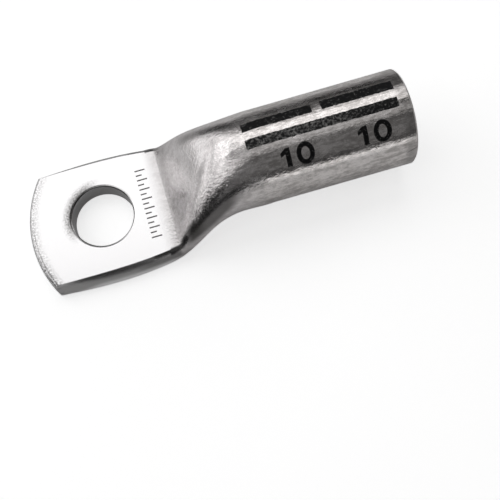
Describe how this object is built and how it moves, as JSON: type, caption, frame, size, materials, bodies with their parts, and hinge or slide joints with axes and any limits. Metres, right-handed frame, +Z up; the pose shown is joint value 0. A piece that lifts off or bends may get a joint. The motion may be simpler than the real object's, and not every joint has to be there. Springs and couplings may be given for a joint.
{
  "type": "crimp cable lug",
  "caption": "Tube crimp cable lug: a round bored barrel takes the stripped wire, and the flattened palm with its stud hole bolts to a terminal.",
  "frame": {"origin": "middle of the stud hole on the contact face, the palm's underside", "axes": "+X along the barrel towards its mouth, +Y across the palm, +Z up from the contact face, along the stud"},
  "size_m": [0.0795, 0.028, 0.02],
  "materials": {
    "tinned_copper": "satin tin plating over drawn copper tube, finely mottled, with faint lengthwise drawing marks"
  },
  "bodies": {
    "root": {"tube_lug": "tinned_copper"}
  },
  "joints": []
}
